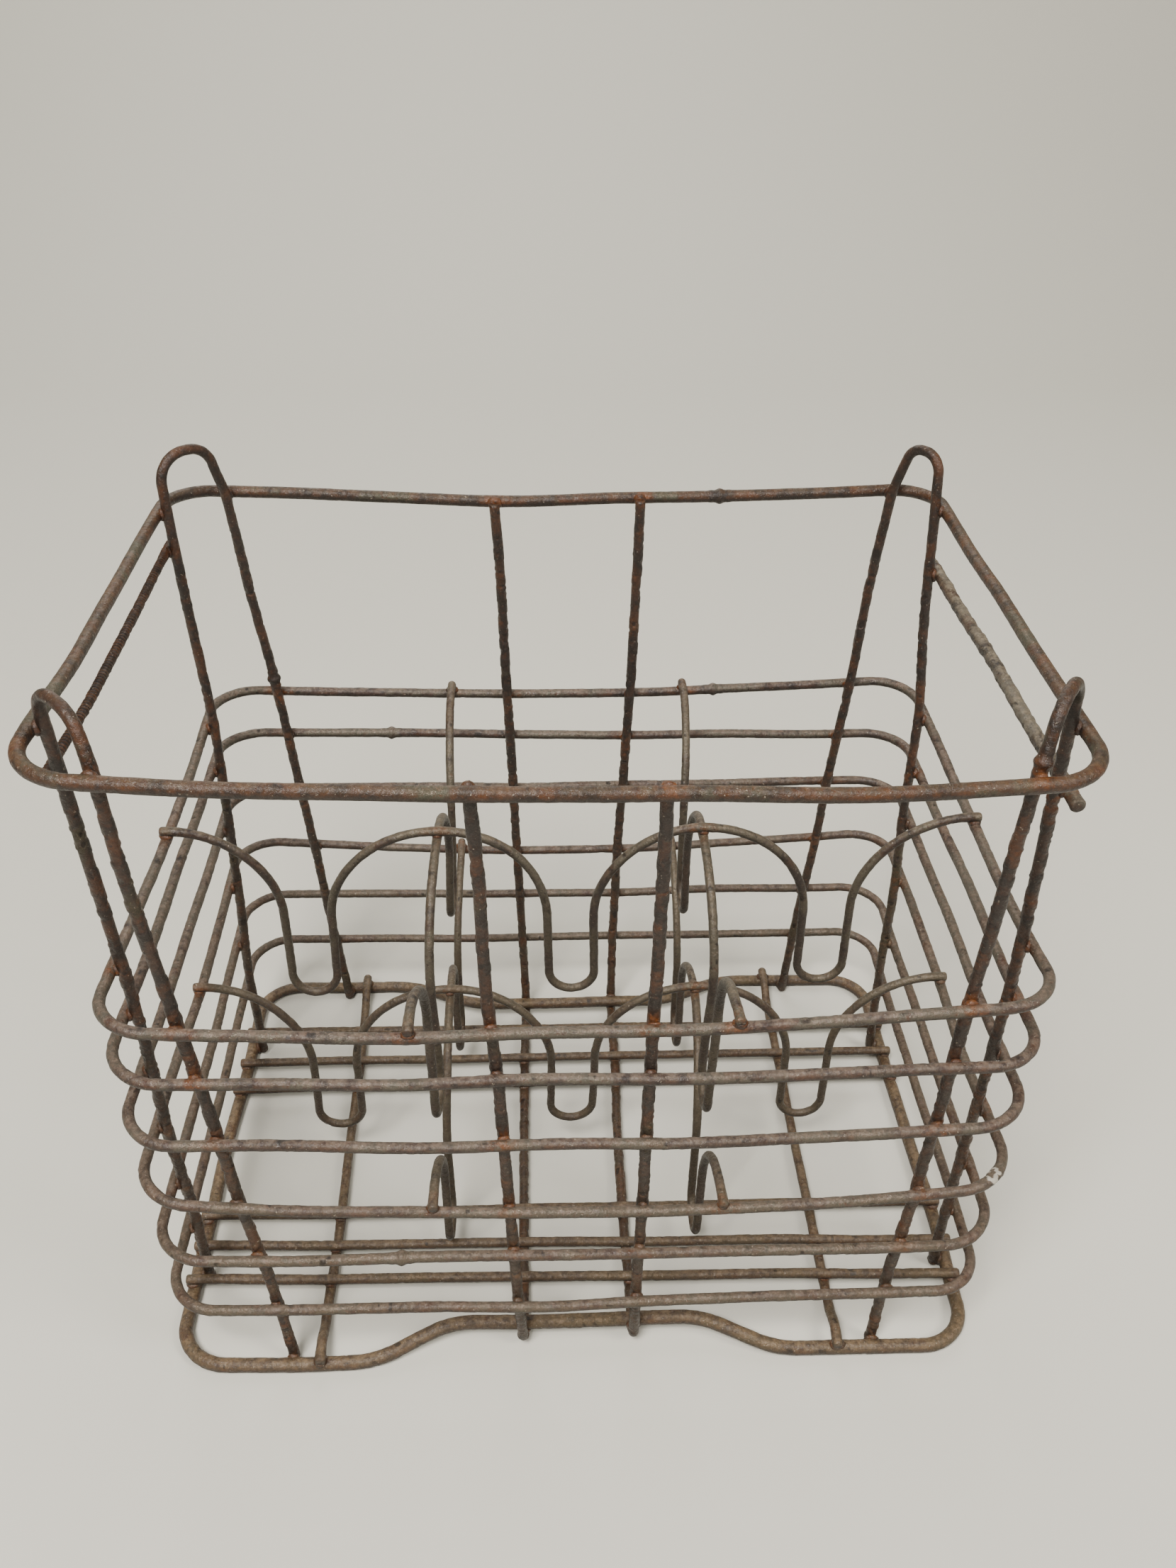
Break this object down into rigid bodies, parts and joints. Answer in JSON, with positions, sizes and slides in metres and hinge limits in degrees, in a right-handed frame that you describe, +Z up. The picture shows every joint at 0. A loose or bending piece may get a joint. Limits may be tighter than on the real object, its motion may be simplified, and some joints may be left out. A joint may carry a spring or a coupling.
{
  "type": "milk bottle crate",
  "caption": "Open crate of welded round wire that holds milk bottles in separate cells, with level hoops, wavy dividers, corner loops and side handles.",
  "frame": {"origin": "middle of the footprint, on the surface the crate stands on", "axes": "+X along the long side, +Y from the front long side to the back one, +Z up"},
  "size_m": [0.377, 0.2568, 0.3523],
  "materials": {
    "scaled_wire": "galvanised wire rusted to a dark brown scale, flaking and orange at the welds",
    "hoop_wire": "weathered galvanised wire, brown oxide with grey zinc left in patches",
    "dusty_wire": "weathered galvanised wire under dry tan dust",
    "divider_wire": "weathered galvanised wire, brown above and dusty tan in the dips"
  },
  "bodies": {
    "root": {"rim": "scaled_wire", "hoop_1": "hoop_wire", "hoop_2": "hoop_wire", "hoop_3": "hoop_wire", "hoop_4": "hoop_wire", "hoop_5": "hoop_wire", "hoop_6": "hoop_wire", "base_ring": "dusty_wire", "corner_loop_front_left": "scaled_wire", "corner_loop_front_right": "scaled_wire", "corner_loop_back_right": "scaled_wire", "corner_loop_back_left": "scaled_wire", "u_wire_left": "scaled_wire", "u_wire_right": "scaled_wire", "floor_cross_wire_left": "dusty_wire", "floor_cross_wire_right": "dusty_wire", "floor_long_wire_1": "dusty_wire", "floor_long_wire_2": "dusty_wire", "floor_long_wire_3": "dusty_wire", "floor_long_wire_4": "dusty_wire", "floor_long_wire_5": "dusty_wire", "floor_long_wire_6": "dusty_wire", "handle_left": "scaled_wire", "handle_right": "scaled_wire", "upper_divider_long": "divider_wire", "upper_divider_cross_left": "divider_wire", "upper_divider_cross_right": "divider_wire", "lower_divider_long": "divider_wire", "lower_divider_cross_left": "divider_wire", "lower_divider_cross_right": "divider_wire"}
  },
  "joints": []
}
